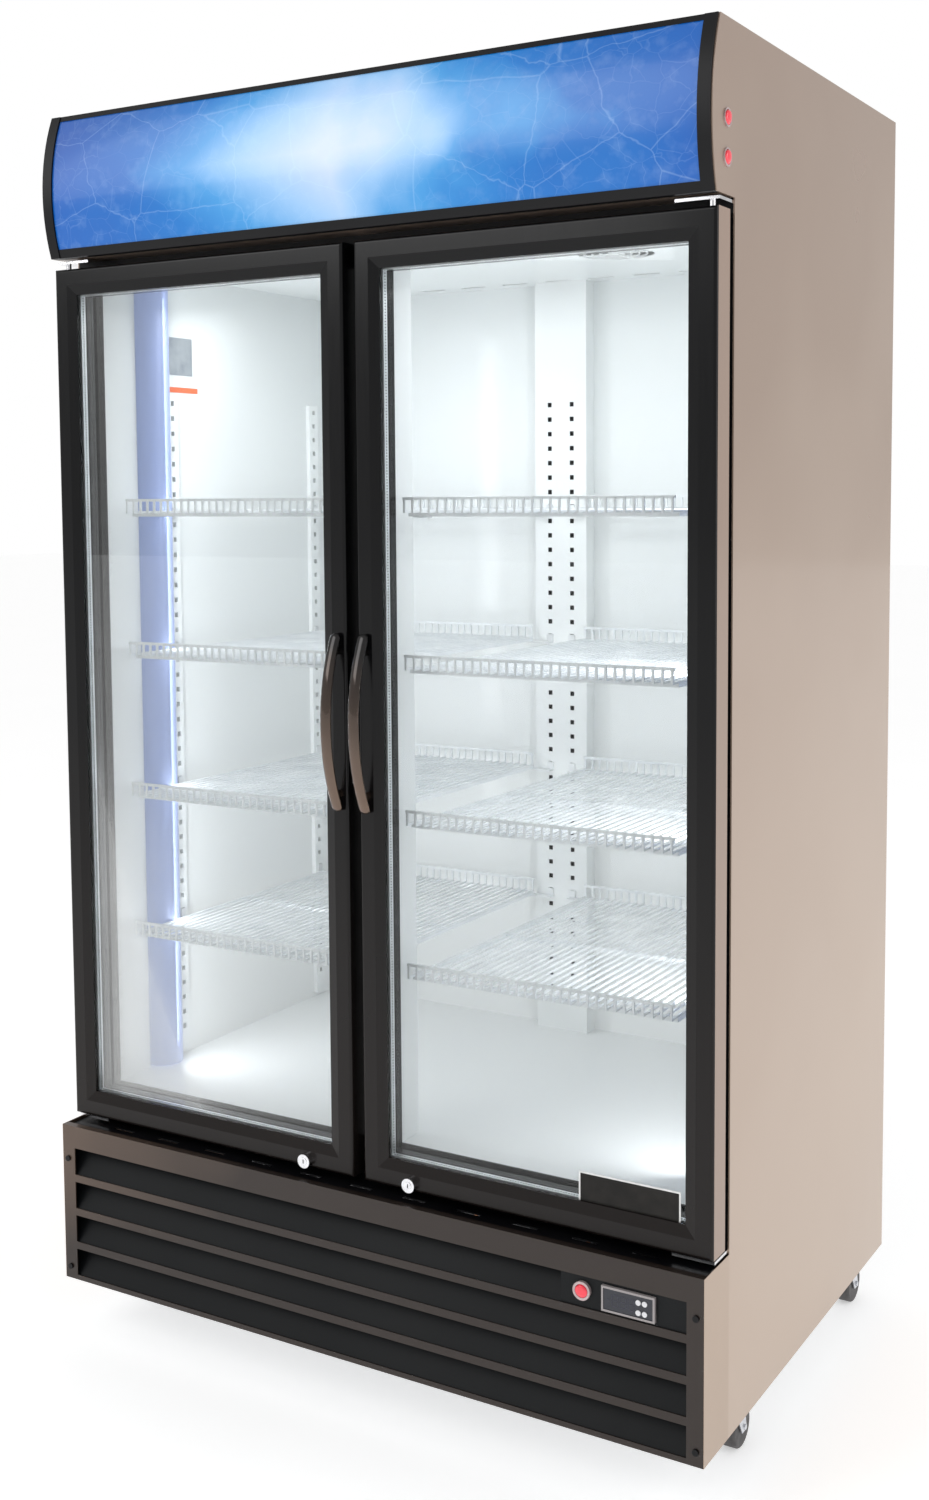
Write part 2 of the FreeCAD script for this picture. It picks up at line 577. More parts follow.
# ---------------------------------------------------------------- lights
def lights():
    axis_x = "(inner_half + lamp_standoff)"
    foot = "(floor_level + lamp_foot)"
    outer = cylinder("lamp_outer", "z", (axis_x, "lamp_middle", foot), "lamp_radius", f"lamp_top - {foot}")
    inner = cylinder("lamp_inner", "z", (axis_x, "lamp_middle", f"{foot} - 1"), "lamp_radius - lamp_sheet",
                     "lamp_top")
    keep = box("lamp_keep", ("inner_half - 2 * lamp_radius", "inner_half"),
               ("lamp_middle - 2 * lamp_radius", "lamp_middle + 2 * lamp_radius"), (0, "body_height"))
    both_sides("lamp_covers", common("lamp_cover", cut("lamp_shell", outer, inner), keep))

    tube_x = "(inner_half - tube_stand - tube_radius)"
    low = f"({foot} + tube_end_gap)"
    high = "(lamp_top - tube_end_gap)"
    side = [cylinder("lamp_tube", "z", (tube_x, "lamp_middle", low), "tube_radius", f"{high} - {low}")]
    for label, start in (("low", low), ("high", f"{high} - socket_length")):
        side.append(box(f"lamp_socket_{label}", ("inner_half - tube_radius", "inner_half"),
                        ("lamp_middle - tube_radius", "lamp_middle + tube_radius"),
                        (start, f"{start} + socket_length")))
    tube = fuse("side_lamp", *side)
    end = "(half - 3 * tube_end_gap)"
    front = [cylinder("canopy_tube", "x", (f"-{end}", "-canopy_tube_depth", "canopy_middle"), "tube_radius",
                      f"2 * {end}")]
    for label, start in (("left", f"-{end}"), ("right", f"{end} - socket_length")):
        front.append(box(f"canopy_socket_{label}", (start, f"{start} + socket_length"),
                         ("-canopy_tube_depth", "-canopy_sheet"),
                         ("canopy_middle - tube_radius", "canopy_middle + tube_radius")))
    node("lamp_tubes", tube, mirrored("side_lamp_mirror", tube), fuse("canopy_lamp", *front))


# ---------------------------------------------------------------- cold air unit
def evaporator():
    ceiling = ("ceiling_level", "ceiling_top")
    plate = box("ceiling_plate", ("-inner_half", "inner_half"),
                ("header_depth + liner", "back_plane"), ceiling)
    hole = cylinder("vent_hole", "z", ("vent_offset", "vent_depth", "ceiling_level - 1"),
                    "vent_radius", "ceiling_sheet + 2")
    slots = []
    for index in range(-5, 6):
        middle = f"{index} * air_slot_pitch"
        slots.append(box(f"air_slot_{index + 5}",
                         (f"{middle} - air_slot_length / 2", f"{middle} + air_slot_length / 2"),
                         ("back_plane - 4 * air_slot_width", "back_plane - 3 * air_slot_width"),
                         ("ceiling_level - 1", "ceiling_top + 1")))
    open_plate = cut("ceiling_open", plate, hole, *slots, pipe_riser_hole("ceiling_riser_hole"))
    rings = []
    for index in range(1, 5):
        radius = f"(vent_radius - {index} * guard_ring_step)"
        outer = cylinder(f"ring_outer_{index}", "z", ("vent_offset", "vent_depth", "ceiling_level"),
                         f"{radius} + guard_wire", "ceiling_sheet")
        inner = cylinder(f"ring_inner_{index}", "z", ("vent_offset", "vent_depth", "ceiling_level - 1"),
                         radius, "ceiling_sheet + 2")
        rings.append(cut(f"guard_ring_{index}", outer, inner))
    across = box("guard_bar_x", ("vent_offset - vent_radius - 3", "vent_offset + vent_radius + 3"),
                 ("vent_depth - guard_wire", "vent_depth + guard_wire"), ceiling)
    along = box("guard_bar_y", ("vent_offset - guard_wire", "vent_offset + guard_wire"),
                ("vent_depth - vent_radius - 3", "vent_depth + vent_radius + 3"), ceiling)
    node("evaporator_cover", fuse("evaporator_cover_whole", open_plate, *rings, across, along))

    xs = ("-evaporator_left", "evaporator_right")
    ys = ("evaporator_front", "evaporator_rear")
    zs = ("evaporator_low", "evaporator_high")
    coil = finned_coil("evaporator", xs, ys, zs, "ceiling_top", rows_along_y=3, rows_along_z=2)
    manifold = box("evaporator_manifold", ("-manifold_half_width", "manifold_half_width"),
                   (ys[1], f"{ys[1]} + manifold_depth"), zs)
    node("evaporator_coil", fuse("evaporator_whole", coil, manifold))


def finned_coil(name, xs, ys, zs, foot, rows_along_y, rows_along_z):
    """Fins threaded on tubes. The two end fins reach down to the foot and carry the coil."""
    pieces = []
    length = f"({xs[1]} - ({xs[0]}))"
    for index in range(int(sizes["fin_count"])):
        left = f"{xs[0]} + {index} * ({length} - fin_thickness) / (fin_count - 1)"
        last = index in (0, int(sizes["fin_count"]) - 1)
        pieces.append(box(f"{name}_fin_{index}", (left, f"{left} + fin_thickness"), ys,
                          (foot if last else zs[0], zs[1])))
    for row in range(rows_along_y):
        y = f"{ys[0]} + ({ys[1]} - ({ys[0]})) * {row + 1} / {rows_along_y + 1}"
        for level in range(rows_along_z):
            z = f"{zs[0]} + ({zs[1]} - ({zs[0]})) * {level + 1} / {rows_along_z + 1}"
            pieces.append(cylinder(f"{name}_tube_{row}_{level}", "x", (f"{xs[0]} - coil_tube_end", y, z),
                                   "coil_tube_radius", f"{length} + 2 * coil_tube_end"))
    return fuse(f"{name}_coil_whole", *pieces)


def fan(name, radius, blades):
    """An axial fan turning about z, its hub standing on z = 0 with the shaft bore through it."""
    hub = cylinder(f"{name}_hub", "z", (0, 0, 0), "fan_hub_radius", "fan_height")
    pieces = [hub]
    lean = FreeCAD.Rotation(FreeCAD.Vector(1, 0, 0), 24)
    for index in range(blades):
        blade = doc.addObject("Part::Box", f"{name}_blade_{index}")
        bind(blade, Length=f"{radius} - fan_hub_radius + 4", Width="fan_hub_radius * 1.5",
             Height="fan_blade")
        angle = 360 * index / blades
        spin = FreeCAD.Rotation(FreeCAD.Vector(0, 0, 1), angle)
        blade.Placement.Rotation = spin.multiply(lean)
        start = spin.multVec(FreeCAD.Vector(1, -0.7, 0))
        at(blade, f"{start.x:.4f} * (fan_hub_radius - 4)", f"{start.y:.4f} * (fan_hub_radius - 4)",
           "fan_height / 2 - fan_hub_radius * 0.3")
        pieces.append(blade)
    swept = cylinder(f"{name}_sweep", "z", (0, 0, -5), radius, "fan_height + 10")
    bore = cylinder(f"{name}_bore", "z", (0, 0, -1), "shaft_radius + running_clearance", "fan_height + 2")
    whole = fuse(f"{name}_blades", *pieces)
    return cut(f"{name}_whole", common(f"{name}_trimmed", whole, swept), bore)


def fans_and_motors():
    flat = fan("evaporator_fan_wheel", "fan_radius", 5)
    node("evaporator_fan", copy("evaporator_fan_placed", flat, "vent_offset", "vent_depth",
                                "evaporator_fan_level"))
    upright = fan("condenser_fan_wheel", "condenser_fan_radius", 5)
    facing = FreeCAD.Rotation(FreeCAD.Vector(1, 0, 0), -90)
    node("condenser_fan", copy("condenser_fan_placed", upright, "condenser_center", "condenser_fan_y",
                               "condenser_middle", facing))

    low = "(evaporator_fan_level + fan_height + motor_gap)"
    high = f"({low} + motor_length)"
    can = cylinder("evaporator_motor_can", "z", ("vent_offset", "vent_depth", low), "motor_radius",
                   "motor_length")
    shaft = cylinder("evaporator_motor_shaft", "z",
                     ("vent_offset", "vent_depth", "evaporator_fan_level + 1"),
                     "shaft_radius", f"{low} - evaporator_fan_level")
    across = ("vent_depth - strap_width / 2", "vent_depth + strap_width / 2")
    left = "(vent_offset - vent_radius - strap_margin)"
    right = "(vent_offset + vent_radius + strap_margin)"
    strap = box("evaporator_motor_strap", (left, right), across, (f"{high} - motor_strap", high))
    legs = [box(f"evaporator_motor_leg_{label}", xs, across, ("ceiling_top", high))
            for label, xs in (("left", (left, f"{left} + motor_strap")),
                              ("right", (f"{right} - motor_strap", right)))]
    upper = fuse("evaporator_motor", can, shaft, strap, *legs)

    near = "(condenser_fan_y + fan_height + motor_gap)"
    far = f"({near} + motor_length)"
    body = cylinder("condenser_motor_can", "y", ("condenser_center", near, "condenser_middle"),
                    "motor_radius", "motor_length")
    spindle = cylinder("condenser_motor_shaft", "y",
                       ("condenser_center", "condenser_fan_y + 1", "condenser_middle"),
                       "shaft_radius", f"{near} - condenser_fan_y")
    post = box("condenser_motor_post",
               ("condenser_center - motor_post_width / 2", "condenser_center + motor_post_width / 2"),
               (f"{far} - motor_post_thickness", far), ("tray_thickness", "condenser_middle"))
    node("fan_motors", upper, fuse("condenser_motor", body, spindle, post))


# ---------------------------------------------------------------- machine compartment
def pipe(name, corners, radius="pipe_radius"):
    """Straight runs along the axes, joined by a ball at each corner."""
    pieces = []
    for index in range(len(corners) - 1):
        start, end = corners[index], corners[index + 1]
        for number, axis in enumerate("xyz"):
            if start[number] != end[number]:
                low = list(start)
                low[number] = f"min({start[number]}; {end[number]})"
                pieces.append(cylinder(f"{name}_run_{index}", axis, low, radius,
                                       f"abs({end[number]} - ({start[number]}))"))
        if index:
            pieces.append(sphere(f"{name}_corner_{index}", start, radius))
    return fuse(name, *pieces)


def machinery():
    floor = box("tray_sheet", ("-panel_half", "panel_half"),
                ("-base_reach + grille_sheet", "case_depth - skin"), (0, "tray_thickness"))
    deck = box("deck_sheet", ("-panel_half", "panel_half"), ("breaker_thickness", "case_depth - skin"),
               ("compartment_top - skin", "compartment_top"))
    node("base_tray", floor, cut("deck_cut", deck, pipe_riser_hole("deck_riser_hole")))

    pot_low = "(compressor_low + compressor_dome)"
    pot_high = f"({pot_low} + compressor_body)"
    pot = cylinder("pot", "z", ("compressor_x", "compressor_y", pot_low), "compressor_radius",
                   "compressor_body")
    ends = [ellipsoid(f"pot_{label}", ("compressor_x", "compressor_y", level), "compressor_dome",
                      "compressor_radius", "compressor_radius")
            for label, level in (("under", pot_low), ("over", pot_high))]
    left = "(compressor_x - compressor_radius)"
    foot = box("pot_foot", (left, "compressor_x + compressor_radius"),
               ("compressor_y - compressor_foot_width / 2", "compressor_y + compressor_foot_width / 2"),
               ("compressor_low", "compressor_low + compressor_foot"))
    grommets = []
    for index, (side, end) in enumerate(((-1, -1), (-1, 1), (1, -1), (1, 1))):
        place = (f"compressor_x + {side} * (compressor_radius - grommet_inset)",
                 f"compressor_y + {end} * (compressor_foot_width / 2 - grommet_inset)", "tray_thickness")
        grommets.append(cylinder(f"grommet_{index}", "z", place, "grommet_radius", "compressor_lift"))
    relay = box("pot_relay", (f"{left} - relay_reach", f"{left} + relay_bite"),
                ("compressor_y - relay_width / 2", "compressor_y + relay_width / 2"),
                ("compressor_low + relay_low", "compressor_low + relay_low + relay_height"))
    node("compressor", fuse("compressor_whole", pot, *ends, foot, relay, *grommets))

    xs = ("condenser_center - condenser_half_width", "condenser_center + condenser_half_width")
    ys = ("condenser_front", "condenser_front + condenser_thickness")
    coil = finned_coil("condenser", xs, ys, ("condenser_low", "condenser_high"), "tray_thickness",
                       rows_along_y=2, rows_along_z=4)
    node("condenser_coil", coil)

    pipes()

    right = "electrical_left + electrical_width"
    case = box("electrical_case", ("electrical_left", right),
               ("electrical_front", "electrical_front + electrical_depth"),
               ("tray_thickness", "tray_thickness + electrical_height"))
    bore = cylinder("gland_bore", "y", ("gland_x", "case_depth - gland_length - 1", "gland_height"),
                    "gland_bore_radius", "gland_length + 2")
    gland = cylinder("gland_body", "y", ("gland_x", "case_depth - gland_length", "gland_height"),
                     "gland_radius", "gland_length")
    nut = cylinder("gland_nut", "y", ("gland_x", "case_depth - skin - gland_nut_length", "gland_height"),
                   "gland_radius + gland_nut_width", "gland_nut_length")
    node("electrical_box", case, cut("gland", fuse("gland_whole", gland, nut), bore))


def pipes():
    top = "(compressor_crown + pipe_rise)"
    rise = "(condenser_high - condenser_low)"
    upper_port = f"(condenser_low + {rise} * 4 / 5)"
    lower_port = f"(condenser_low + {rise} / 5)"
    manifold_y = "(evaporator_rear + manifold_depth)"
    liquid_z = "(evaporator_low + evaporator_height / 4)"
    suction_z = "(evaporator_low + evaporator_height * 3 / 5)"
    down_x = "(port_x + pipe_offset)"
    along_x = "(port_x + 2 * pipe_offset)"
    turn_y = "(compressor_y - pipe_loop)"
    discharge = pipe("discharge_pipe", [
        ("compressor_x", "compressor_y", "compressor_crown"), ("compressor_x", "compressor_y", top),
        ("compressor_x", turn_y, top), (down_x, turn_y, top), (down_x, "port_y", top),
        (down_x, "port_y", upper_port), ("port_x", "port_y", upper_port)])
    liquid = pipe("liquid_pipe", [
        ("port_x", "port_y", lower_port), (along_x, "port_y", lower_port),
        (along_x, "riser_y", lower_port), ("-pipe_split", "riser_y", lower_port),
        ("-pipe_split", "riser_y", liquid_z), ("-pipe_split", manifold_y, liquid_z)])
    drier = cylinder("drier", "y", (along_x, "2 * drier_length", lower_port), "drier_radius",
                     "drier_length")
    suction = pipe("suction_pipe", [
        ("compressor_x", "compressor_y + compressor_radius", "suction_height"),
        ("compressor_x", "riser_y", "suction_height"), ("pipe_split", "riser_y", "suction_height"),
        ("pipe_split", "riser_y", suction_z), ("pipe_split", manifold_y, suction_z)])
    node("refrigerant_pipes", discharge, fuse("liquid_line", liquid, drier), suction)


# ---------------------------------------------------------------- base front
def slot_rise(index):
    low = f"(slot_bottom + {index} * (slot_height + slot_bar))"
    return (low, f"({low} + slot_height)")


def base_front():
    front = ("-base_reach", "-base_reach + grille_sheet")
    face = box("grille_face", ("-half", "half"), front, (0, "base_height"))
    slots = []
    for index in range(4):
        slots.append(box(f"grille_slot_{index}", ("-half + post_width", "half - post_width"),
                         ("-base_reach - 1", "-base_reach + grille_sheet + 1"), slot_rise(index)))
    open_face = cut("grille_open", face, *slots)
    side = box("grille_side", ("half - grille_sheet", "half"), ("-base_reach", 0), (0, "base_height"))
    other = mirrored("grille_side_mirror", side)
    flange = box("grille_flange", ("-half", "half"), ("-base_reach", "-base_reach + top_flange"),
                 ("base_height - grille_sheet", "base_height"))
    node("grille_panel", fuse("grille_whole", open_face, side, other, flange))

    left = "(-half + grille_sheet)"
    blades = [slanted_blade(index, (left, "(half - grille_sheet)"),
                            slot_rise(index)) for index in range(3)]
    blades.append(slanted_blade(3, (left, "control_plate_left"), slot_rise(3)))
    low, high = slot_rise(3)
    plate = box("control_plate", ("control_plate_left", "half - grille_sheet"),
                ("-base_reach + grille_sheet", "switch_face"), (f"{low} - blade_lap", f"{high} + blade_lap"))
    wide = "(controller_case_width / 2 + switch_clearance)"
    tall = "(controller_case_height / 2 + switch_clearance)"
    window = box("controller_window", (f"controller_x - {wide}", f"controller_x + {wide}"),
                 ("-base_reach", "switch_face + 1"), (f"controller_z - {tall}", f"controller_z + {tall}"))
    hole = cylinder("power_hole", "y", ("power_x", "-base_reach", "power_z"),
                    "switch_hole_radius + switch_barrel_wall + switch_clearance", "10")
    node("louvre_panel", *blades, cut("control_plate_open", plate, window, hole))

    heads = []
    for index, z in enumerate(("post_screw_low", "base_height - post_screw_top")):
        heads.append(cylinder(f"screw_head_{index}", "y",
                              ("half - post_screw_inset", "-base_reach - screw_head_height", z),
                              "screw_head_radius", "screw_head_height"))
    both_sides("screws", *heads)


def slanted_blade(index, xs, zs):
    """A louvre blade: near the slot at its foot, leaning back towards the top."""
    blade = doc.addObject("Part::Wedge", f"blade_{index}")
    length = f"{xs[1]} - {xs[0]}"
    turn = FreeCAD.Rotation(FreeCAD.Vector(1, 0, 0), FreeCAD.Vector(0, 0, 1), FreeCAD.Vector(0, -1, 0),
                            "XYZ")
    blade.Placement.Rotation = turn
    bind(blade, Xmin=0, X2min=0, Xmax=length, X2max=length, Ymin=0, Ymax="slot_height + blade_lap",
         Zmin="-blade_thickness", Zmax=0,
         Z2min="-blade_depth - blade_thickness", Z2max="-blade_depth")
    return at(blade, xs[0], "-base_reach + grille_sheet", f"{zs[0]} - blade_lap")


# ---------------------------------------------------------------- controls
def controls():
    seat = "(switch_face - blade_thickness)"
    face = f"({seat} - controller_flange)"
    wide = ("controller_x - controller_width / 2", "controller_x + controller_width / 2")
    tall = ("controller_z - controller_height / 2", "controller_z + controller_height / 2")
    flange = box("controller_flange", wide, (face, seat), tall)
    glass_wide = "(controller_width / 2 - window_margin)"
    glass_tall = "(controller_height / 2 - window_margin)"
    window = box("controller_glass", (f"controller_x - {glass_wide}", f"controller_x + {glass_wide}"),
                 (f"{face} - 1", f"{face} + window_step"),
                 (f"controller_z - {glass_tall}", f"controller_z + {glass_tall}"))
    case = box("controller_back",
               ("controller_x - controller_case_width / 2", "controller_x + controller_case_width / 2"),
               (seat, f"{seat} + controller_case_depth"),
               ("controller_z - controller_case_height / 2", "controller_z + controller_case_height / 2"))
    holes = []
    glass = f"({face} + window_step)"
    for row, z in (("upper", "controller_z + button_upper"), ("lower", "controller_z - button_lower")):
        for column, x in (("left", "controller_x + button_left"),
                          ("right", "controller_x + button_left + button_pitch")):
            holes.append(cylinder(f"button_hole_{row}_{column}", "y", (x, f"{glass} - 2", z),
                                  "button_radius + button_clearance", "button_depth + button_travel"))
            cap = cylinder(f"button_cap_{row}_{column}", "y", (x, f"{glass} - button_proud", z),
                           "button_radius", "button_depth")
            node(f"controller_button_{row}_{column}", cap)
    node("controller_case", cut("controller_open", fuse("controller_whole", flange, case), window, *holes))

    power_ring = switch_ring("power", "y", ("power_x", f"{seat} - switch_ring_reach", "power_z"),
                             "switch_ring_radius", "switch_ring_reach", 1)
    upper = switch_ring("light_upper", "x", ("half", "-light_switch_y", "light_switch_upper"),
                        "light_ring_radius", "light_ring_reach", -1)
    lower = switch_ring("light_lower", "x", ("half", "-light_switch_y", "light_switch_lower"),
                        "light_ring_radius", "light_ring_reach", -1)
    node("switch_bezels", power_ring, upper, lower)

    button = rocker()
    to_front = FreeCAD.Rotation(FreeCAD.Vector(1, 0, 0), 90 + sizes["rocker_tilt"])
    to_right = FreeCAD.Rotation(FreeCAD.Vector(0, 1, 0), 90 + sizes["rocker_tilt"])
    node("power_rocker", copy("power_rocker_placed", button, "power_x",
                              f"{seat} - switch_ring_reach + rocker_half_thickness", "power_z", to_front))
    for label in ("upper", "lower"):
        node(f"light_rocker_{label}",
             copy(f"light_rocker_{label}_placed", button,
                  "half + light_ring_reach - rocker_half_thickness", "-light_switch_y",
                  f"light_switch_{label}", to_right))


def switch_ring(name, axis, start, radius, reach, inward):
    """A round bezel with a barrel behind it. inward is the way the barrel runs along the axis."""
    seat = list(start)
    number = "xyz".index(axis)
    if inward > 0:
        seat[number] = f"{start[number]} + {reach}"
        barrel_start = list(seat)
        open_start = list(start)
        open_start[number] = f"{start[number]} - 1"
    else:
        barrel_start = list(start)
        barrel_start[number] = f"{start[number]} - switch_barrel"
        open_start = list(barrel_start)
        open_start[number] = f"{barrel_start[number]} + 2"
    bezel = cylinder(f"{name}_bezel", axis, start, radius, reach)
    barrel = cylinder(f"{name}_barrel", axis, barrel_start, "switch_hole_radius + switch_barrel_wall",
                      "switch_barrel")
    opening = cylinder(f"{name}_opening", axis, open_start, "switch_hole_radius",
                       f"switch_barrel + {reach} - 1")
    return cut(f"{name}_ring", fuse(f"{name}_ring_whole", bezel, barrel), opening)


def rocker():
    """A round rocker about its own centre, its domed face towards +z."""
    disc = cylinder("rocker_disc", "z", (0, 0, "-rocker_half_thickness"), "rocker_radius",
                    "2 * rocker_half_thickness")
    dome = ellipsoid("rocker_dome", (0, 0, "rocker_half_thickness"), "rocker_dome",
                     "rocker_radius", "rocker_radius")
    return fuse("rocker", disc, dome)


# ---------------------------------------------------------------- canopy
def canopy_drum(name, radius):
    return cylinder(name, "x", ("-half", "canopy_axis_y", "canopy_axis_z"), radius, "case_width")


def canopy_band(name, low_radius, high_radius, xs, zs):
    ring = cut(f"{name}_ring", canopy_drum(f"{name}_outer", high_radius),
               canopy_drum(f"{name}_inner", low_radius))
    keep = box(f"{name}_keep", xs, ("-2 * canopy_reach", 0), zs)
    return common(name, ring, keep)


def canopy():
    rise = ("canopy_bottom", "body_height")
    solid = common("canopy_solid", canopy_drum("canopy_outline", "canopy_radius"),
                   box("canopy_block", ("-half", "half"), ("-2 * canopy_reach", 0), rise))
    hollow = box("canopy_hollow", ("-half + canopy_sheet", "half - canopy_sheet"),
                 ("-2 * canopy_reach", "-canopy_sheet"),
                 ("canopy_bottom + canopy_sheet", "body_height - canopy_sheet"))
    front = canopy_band("canopy_front_gap", "canopy_radius - canopy_end_depth", "canopy_radius + 5",
                        ("-half + canopy_sheet", "half - canopy_sheet"), (0, "2 * body_height"))
    holes = [cylinder(f"light_hole_{label}", "x",
                      ("half - 10", "-light_switch_y", f"light_switch_{label}"),
                      "switch_hole_radius + switch_barrel_wall + switch_clearance", "12")
             for label in ("upper", "lower")]
    node("canopy_housing", cut("canopy_shell", solid, hollow, front, *holes))

    end_xs = ("half - canopy_sheet - canopy_end_width", "half - canopy_sheet")
    end = canopy_band("canopy_end", "canopy_radius - canopy_end_depth", "canopy_radius + canopy_end_proud",
                      end_xs, rise)
    middle = ("-half + canopy_sheet + canopy_end_width", "half - canopy_sheet - canopy_end_width")
    proud = "canopy_radius + canopy_trim_proud"
    top = canopy_band("canopy_top_strip", "canopy_radius - canopy_end_depth", proud, middle,
                      ("body_height - canopy_top_trim", "body_height"))
    bottom = canopy_band("canopy_bottom_strip", "canopy_radius - canopy_end_depth", proud, middle,
                         ("canopy_bottom", "canopy_bottom + canopy_bottom_trim"))
    node("canopy_trims", end, mirrored("canopy_end_mirror", end), top, bottom)

    face = canopy_band("canopy_face", "canopy_radius - canopy_panel_thickness", "canopy_radius", middle,
                       ("canopy_bottom + canopy_bottom_trim", "body_height - canopy_top_trim"))
    node("canopy_panel", face)


# ---------------------------------------------------------------- doors
def mitred_bar(name, length):
    """A bar lying along x with 45 degree ends, its outer front edge rounded."""
    bar = doc.addObject("Part::Wedge", f"{name}_bar")
    bind(bar, Xmin=0, Xmax=length, X2min="frame_face", X2max=f"{length} - frame_face",
         Ymin=0, Ymax="frame_face", Zmin=0, Zmax="door_thickness", Z2min=0, Z2max="door_thickness")
    doc.recompute()
    front = float(sheet.get("door_thickness"))
    rounding = float(sheet.get("edge_round"))
    fillet = doc.addObject("Part::Fillet", f"{name}_rounded")
    fillet.Base = bar
    outer = [number for number, edge in enumerate(bar.Shape.Edges, start=1)
             if abs(edge.CenterOfMass.y) < 0.01 and abs(edge.CenterOfMass.z - front) < 0.01]
    fillet.Edges = [(number, rounding, rounding) for number in outer]
    return fillet


def inset_box(name, inset, front, rear):
    return box(name, (f"door_inner + {inset}", f"door_outer - ({inset})"), (front, rear),
               (f"door_bottom + {inset}", f"door_top - ({inset})"))


def door():
    rear = "-door_rear"
    level = mitred_bar("door_rail", "door_width")
    upright = mitred_bar("door_stile", "door_height")
    bars = {
        "bottom": (level, (1, 0, 0), (0, 0, 1), ("door_inner", rear, "door_bottom")),
        "top": (level, (-1, 0, 0), (0, 0, -1), ("door_outer", rear, "door_top")),
        "hinge": (upright, (0, 0, 1), (-1, 0, 0), ("door_outer", rear, "door_bottom")),
        "free": (upright, (0, 0, -1), (1, 0, 0), ("door_inner", rear, "door_top")),
    }
    pocket = inset_box("door_pocket", "(glass_inset - pocket_clearance)", "glass_front",
                       "glass_rear")
    bore = "pin_radius + running_clearance"
    top_bore = cylinder("hinge_bore_top", "z", ("pivot_x", "pivot_y", "door_top - pin_bite - 2"), bore,
                        "pin_bite + 3")
    low_bore = cylinder("hinge_bore_low", "z", ("pivot_x", "pivot_y", "door_bottom - 1"), bore,
                        "pin_bite + 3")
    lock_bore = cylinder("lock_bore", "y", ("lock_x", "door_front - 1", "lock_z"), "lock_barrel_radius",
                         "door_thickness + 2")
    tools = fuse("door_tools", pocket, top_bore, low_bore, lock_bore, door_bevel())
    frame = []
    for name, (bar, along, inward, start) in bars.items():
        turn = FreeCAD.Rotation(FreeCAD.Vector(*along), FreeCAD.Vector(*inward), FreeCAD.Vector(0, -1, 0),
                                "XYZ")
        frame.append(cut(f"door_{name}", copy(f"door_{name}_bar", bar, *start, turn), tools))

    pane = inset_box("pane_front", "glass_inset", "glass_front",
                     "glass_front + glass_thickness")
    rear_pane = inset_box("pane_rear", "glass_inset", "glass_rear - glass_thickness",
                          "glass_rear")
    spacer_ys = ("glass_front + glass_thickness", "glass_rear - glass_thickness")
    spacer = ring("spacer", "(glass_inset + spacer_cover)", "spacer_width", spacer_ys)
    gasket = ring("gasket", "gasket_inset", "gasket_width", (rear, "-gasket_clearance"))
    parts = {"door_frame": frame, "door_glass": [pane, rear_pane], "glass_spacer": [spacer],
             "door_gasket": [gasket], "door_handle": [handle()], "lock_barrel": [lock_barrel()],
             "lock_plug": [lock_plug()]}
    for name, solids in parts.items():
        node(f"right_{name}", *solids)
        node(f"left_{name}", *[mirrored(f"left_{solid.Name}", solid) for solid in solids])


def door_bevel():
    """The sloping band between the flat outer band of the frame and the glass."""
    bevel = doc.addObject("Part::Wedge", "door_bevel")
    bind(bevel, Xmin="face_band", Xmax="door_width - face_band", Zmin="face_band",
         Zmax="door_height - face_band", X2min="frame_face", X2max="door_width - frame_face",
         Z2min="frame_face", Z2max="door_height - frame_face", Ymin=0, Ymax="band_drop")
    return at(bevel, "door_inner", "door_front", "door_bottom")


def ring(name, inset, width, ys):
    outer = inset_box(f"{name}_outer", inset, *ys)
    hole = inset_box(f"{name}_hole", f"({inset} + {width})", f"{ys[0]} - 1", f"{ys[1]} + 1")
    return cut(name, outer, hole)


def handle():
    """A bowed grip: an oval section turned along an arc, with rounded ends, on two feet."""
    chord = "(handle_length / 2 - handle_tip)"
    radius = f"(({chord}^2 + handle_rise^2) / (2 * handle_rise))"
    angle = f"asin({chord} / {radius})"
    oval = doc.addObject("Part::Ellipse", "handle_oval")
    bind(oval, MajorRadius="handle_half_width", MinorRadius="handle_half_thickness")
    at(oval, 0, f"-{radius}", 0)
    bow = doc.addObject("Part::Revolution", "handle_bow")
    bow.Source = oval
    bow.Axis = (1, 0, 0)
    bow.Base = (0, 0, 0)
    bow.Solid = True
    bow.Symmetric = True
    bind(bow, Angle=f"2 * {angle}")
    pieces = [bow]
    for label, sign in (("low", ""), ("high", "-")):
        tip = ellipsoid(f"handle_tip_{label}", (0, f"-{radius} * cos({angle})", f"{sign}(-{chord})"),
                        "handle_tip", "handle_half_width", "handle_half_thickness")
        tip.Placement.Rotation = FreeCAD.Rotation(FreeCAD.Vector(1, 0, 0), 1)
        bind(tip, Placement__Rotation__Angle=f"{sign}{angle}")
        bind(tip, Placement__Rotation__Axis__x="1")
        pieces.append(tip)
    arc = fuse("handle_arc", *pieces)
    center_y = f"(door_front - handle_stand - handle_half_thickness - handle_rise + {radius})"
    grip = copy("handle_grip", arc, "handle_x", center_y, "handle_middle")
    reach = f"({chord} - handle_foot_inset)"
    foot_y = f"({center_y} - sqrt({radius}^2 - {reach}^2))"
    feet = [cylinder(f"handle_foot_{label}", "y", ("handle_x", foot_y, f"handle_middle {sign} {reach}"),
                     "handle_foot_radius", f"door_front - {foot_y}")
            for label, sign in (("low", "-"), ("high", "+"))]
    return fuse("handle", grip, *feet)


